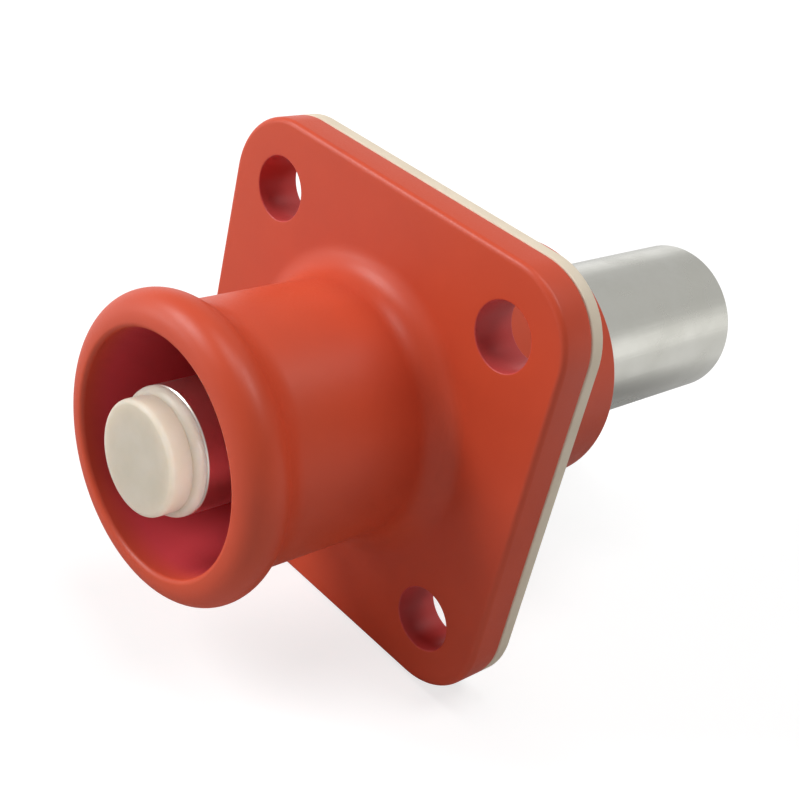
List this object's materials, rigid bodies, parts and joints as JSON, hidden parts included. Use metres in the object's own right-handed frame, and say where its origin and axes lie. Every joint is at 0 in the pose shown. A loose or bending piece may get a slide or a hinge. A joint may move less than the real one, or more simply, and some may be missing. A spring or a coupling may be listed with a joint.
{
  "type": "high current panel connector",
  "caption": "Panel-mount power connector: square flanged housing with a bell-mouth snout round a touch-proof pin, a flat seal behind the flange and a crimp barrel at the back.",
  "frame": {"origin": "centre of the panel's face, where the flat seal meets it, on the connector's axis", "axes": "+Y runs along the connector's axis into the panel, so the snout points to -Y and the crimp barrel to +Y; the square flange is upright, with its sides along X and Z"},
  "size_m": [0.046, 0.0782, 0.046],
  "materials": {
    "orange_plastic": "satin moulded plastic",
    "cream_rubber": "matt sheet rubber",
    "silver_plate": "satin silver plate on copper",
    "ivory_plastic": "satin moulded plastic",
    "black_rubber": "matt rubber",
    "spring_steel": "oiled spring steel"
  },
  "bodies": {
    "root": {"housing": "orange_plastic", "flange_gasket": "cream_rubber", "contact": "silver_plate", "touch_proof_cap": "ivory_plastic", "contact_seal": "black_rubber", "retaining_ring": "spring_steel"}
  },
  "joints": []
}
